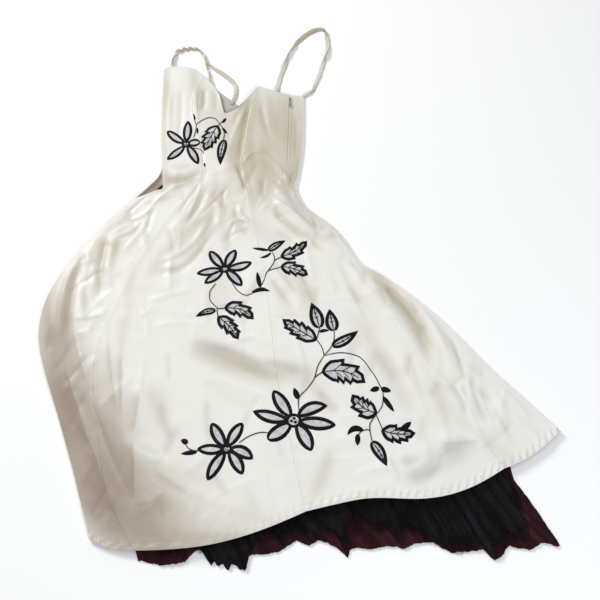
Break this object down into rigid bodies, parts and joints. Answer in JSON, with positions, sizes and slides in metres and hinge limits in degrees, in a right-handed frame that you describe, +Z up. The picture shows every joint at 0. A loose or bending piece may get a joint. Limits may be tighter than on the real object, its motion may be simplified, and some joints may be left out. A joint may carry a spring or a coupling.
{
  "type": "cocktail dress",
  "caption": "Satin cocktail dress laid flat, with thin straps, a V neckline, a side zip, organza flower appliques and a flared skirt over black and burgundy tulle.",
  "frame": {"origin": "centre of the dress's floor outline, on the surface that it lies on", "axes": "+Z up from the surface, +Y from the hem towards the straps, +X to the right as seen from above"},
  "size_m": [1.1693, 1.4216, 0.0222],
  "materials": {
    "satin": "ivory satin with a soft sheen",
    "satin_back": "duller wrong side of ivory satin",
    "tulle_black": "black tulle net",
    "tulle_burgundy": "burgundy tulle net",
    "zip_tape": "woven tape",
    "zip_metal": "dull lacquered metal",
    "organza": "sheer grey organza edged with black satin stitch"
  },
  "bodies": {
    "dress": {"front_left": "satin", "front_centre": "satin", "front_right": "satin", "back_right": "satin", "back_centre": "satin_back", "back_left": "satin_back", "strap_right": "satin", "strap_left": "satin", "strap_keeper": "satin", "tulle_black": "tulle_black", "tulle_burgundy": "tulle_burgundy", "zip_tape": "zip_tape", "zip_slider": "zip_metal", "flower_bust": "organza", "flower_hip": "organza", "flower_knee": "organza", "flower_hem": "organza", "leaf_bust_a": "organza", "leaf_bust_b": "organza", "leaf_hip_a": "organza", "leaf_hip_b": "organza", "leaf_hip_c": "organza", "leaf_hip_d": "organza", "leaf_hip_e": "organza", "leaf_hip_f": "organza", "leaf_knee_a": "organza", "leaf_knee_b": "organza", "leaf_knee_c": "organza", "leaf_knee_d": "organza", "leaf_knee_e": "organza", "leaf_knee_f": "organza", "leaf_knee_g": "organza", "leaf_knee_h": "organza"},
    "pull_tab": {"zip_pull_tab": "zip_metal"}
  },
  "joints": [
    {"name": "pull_tab_hinge", "type": "hinge", "parent": "dress", "child": "pull_tab", "pos_m": [-0.00825, 0.456, 0.01039], "axis": [-1, 0, 0], "range_deg": [0, 165]}
  ]
}
